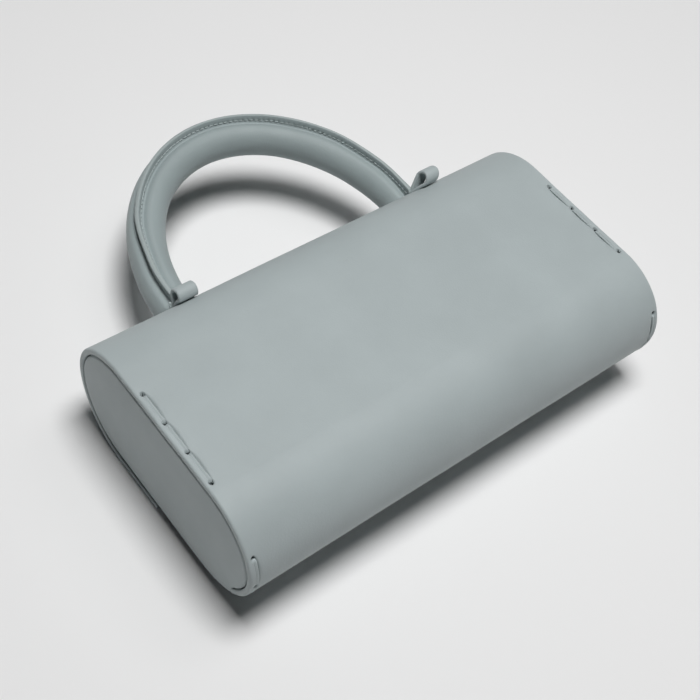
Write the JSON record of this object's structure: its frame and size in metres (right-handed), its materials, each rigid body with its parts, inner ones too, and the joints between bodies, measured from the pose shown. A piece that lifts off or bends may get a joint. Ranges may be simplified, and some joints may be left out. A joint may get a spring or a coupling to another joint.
{
  "type": "handbag",
  "caption": "Small smooth-leather top-handle handbag with a flap, rounded end panels, laced ends and folded strap loops, lying on its flap.",
  "frame": {"origin": "middle of the flat underside of the flap, where the bag rests", "axes": "+X along the bag's length, +Y up its height towards the handle, +Z out of its back face, which is up"},
  "size_m": [0.24, 0.221, 0.0654],
  "materials": {
    "shell_leather": "smooth matt pale grey-green leather",
    "handle_leather": "smooth matt pale grey-green leather",
    "panel_leather": "smooth matt pale grey-green leather",
    "loop_leather": "smooth matt pale grey-green leather",
    "lace_leather": "thin matt leather lace"
  },
  "bodies": {
    "root": {"shell": "shell_leather", "handle": "handle_leather", "end_panel_left": "panel_leather", "end_panel_right": "panel_leather", "strap_loop_left": "loop_leather", "strap_loop_right": "loop_leather", "back_lace_left": "lace_leather", "back_lace_right": "lace_leather", "bottom_lace_left": "lace_leather", "bottom_lace_right": "lace_leather"}
  },
  "joints": []
}
